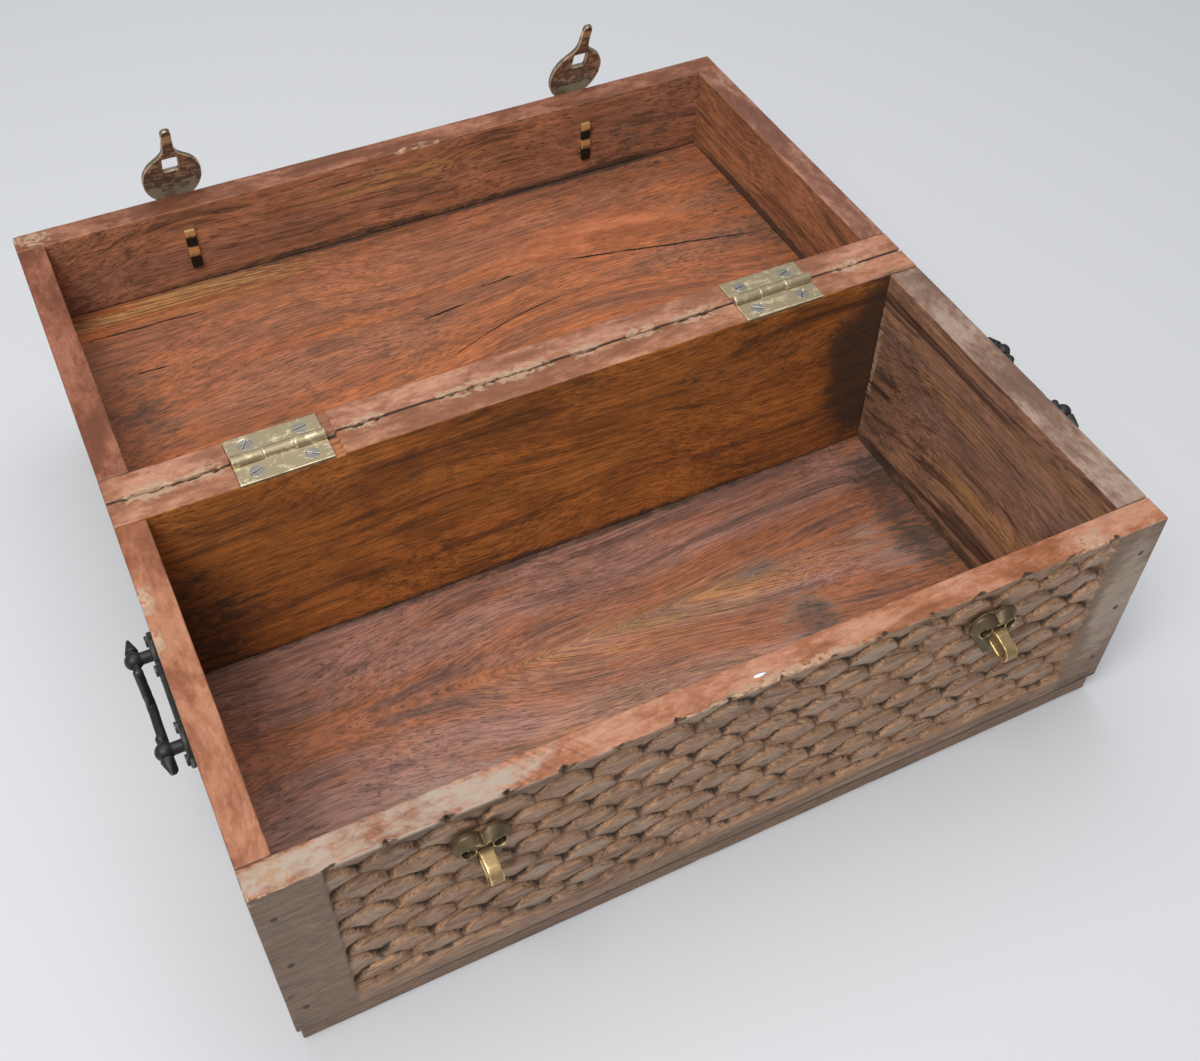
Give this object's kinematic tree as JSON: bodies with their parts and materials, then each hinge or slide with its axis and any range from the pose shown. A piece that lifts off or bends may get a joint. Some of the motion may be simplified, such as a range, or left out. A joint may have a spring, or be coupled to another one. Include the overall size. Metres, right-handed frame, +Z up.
{
  "type": "storage chest",
  "caption": "Shallow wooden storage chest with a carved front, a hinged lid laid open behind it, brass hasps with staples, and iron drop handles.",
  "frame": {"origin": "centre of the underside of the bottom board", "axes": "+X along the length to the right, +Y from the carved front to the hinged back, +Z up"},
  "size_m": [0.5008, 0.5113, 0.206],
  "materials": {
    "carved_wood": "weathered carved hardwood",
    "chest_wood": "old oiled hardwood",
    "bottom_wood": "old stained hardwood",
    "lid_wood": "old oiled hardwood",
    "dark_nails": "dark rusted iron",
    "bright_nail": "bright steel",
    "hinge_brass": "aged brass, worn bright",
    "hinge_pin_steel": "dull steel",
    "screw_steel": "grey worn steel",
    "lock_brass": "cast brass with dark patina",
    "handle_iron": "black wrought iron"
  },
  "bodies": {
    "chest": {"base_front_board": "carved_wood", "base_back_board": "chest_wood", "base_left_board": "chest_wood", "base_right_board": "chest_wood", "base_bottom_board": "bottom_wood", "base_corner_nails": "dark_nails", "base_bottom_nails": "dark_nails", "front_rim_nail": "bright_nail", "hinge_left_base_leaf": "hinge_brass", "hinge_left_pin": "hinge_pin_steel", "hinge_left_base_screws": "screw_steel", "staple_left_plate": "lock_brass", "staple_left_eye": "lock_brass", "staple_left_nails": "dark_nails", "handle_left_mount": "handle_iron", "handle_left_nails": "dark_nails", "hinge_right_base_leaf": "hinge_brass", "hinge_right_pin": "hinge_pin_steel", "hinge_right_base_screws": "screw_steel", "staple_right_plate": "lock_brass", "staple_right_eye": "lock_brass", "staple_right_nails": "dark_nails", "handle_right_mount": "handle_iron", "handle_right_nails": "dark_nails"},
    "lid": {"lid_front_board": "lid_wood", "lid_back_board": "lid_wood", "lid_left_board": "lid_wood", "lid_right_board": "lid_wood", "lid_top_board": "lid_wood", "lid_corner_nails": "dark_nails", "lid_top_nails": "dark_nails", "hinge_left_lid_leaf": "hinge_brass", "hinge_left_lid_screws": "screw_steel", "hasp_left_eye": "lock_brass", "hinge_right_lid_leaf": "hinge_brass", "hinge_right_lid_screws": "screw_steel", "hasp_right_eye": "lock_brass"},
    "hasp_pin_left": {"hasp_left_pin": "lock_brass"},
    "hasp_pin_right": {"hasp_right_pin": "lock_brass"},
    "hasp_left": {"hasp_left_plate": "lock_brass"},
    "hasp_right": {"hasp_right_plate": "lock_brass"},
    "bail_left": {"handle_left_bail": "handle_iron"},
    "bail_right": {"handle_right_bail": "handle_iron"}
  },
  "joints": [
    {"name": "lid_hinge", "type": "hinge", "parent": "chest", "child": "lid", "pos_m": [0, 0.1183, 0.1482], "axis": [1, 0, 0], "range_deg": [0, 180]},
    {"name": "hasp_left_pin_turn", "type": "hinge", "parent": "lid", "child": "hasp_pin_left", "pos_m": [-0.136, 0.37023, 0.12477], "axis": [-1, 0, 0], "range_deg": [0, 30]},
    {"name": "hasp_left_swing", "type": "hinge", "parent": "hasp_pin_left", "child": "hasp_left", "pos_m": [-0.136, 0.37023, 0.12477], "axis": [-1, 0, 0], "range_deg": [-7, 175]},
    {"name": "hasp_right_pin_turn", "type": "hinge", "parent": "lid", "child": "hasp_pin_right", "pos_m": [0.1335, 0.37023, 0.12477], "axis": [-1, 0, 0], "range_deg": [0, 30]},
    {"name": "hasp_right_swing", "type": "hinge", "parent": "hasp_pin_right", "child": "hasp_right", "pos_m": [0.1335, 0.37023, 0.12477], "axis": [-1, 0, 0], "range_deg": [-7, 175]},
    {"name": "bail_left_swing", "type": "hinge", "parent": "chest", "child": "bail_left", "pos_m": [-0.246, 0.002, 0.135], "axis": [0, 1, 0], "range_deg": [-15, 160]},
    {"name": "bail_right_swing", "type": "hinge", "parent": "chest", "child": "bail_right", "pos_m": [0.246, 0.002, 0.135], "axis": [0, -1, 0], "range_deg": [-15, 160]}
  ],
  "couplings": [
    {"joint": "hasp_left_pin_turn", "follows": "lid_hinge", "ratio": 0.1666},
    {"joint": "hasp_right_pin_turn", "follows": "lid_hinge", "ratio": 0.1666}
  ]
}
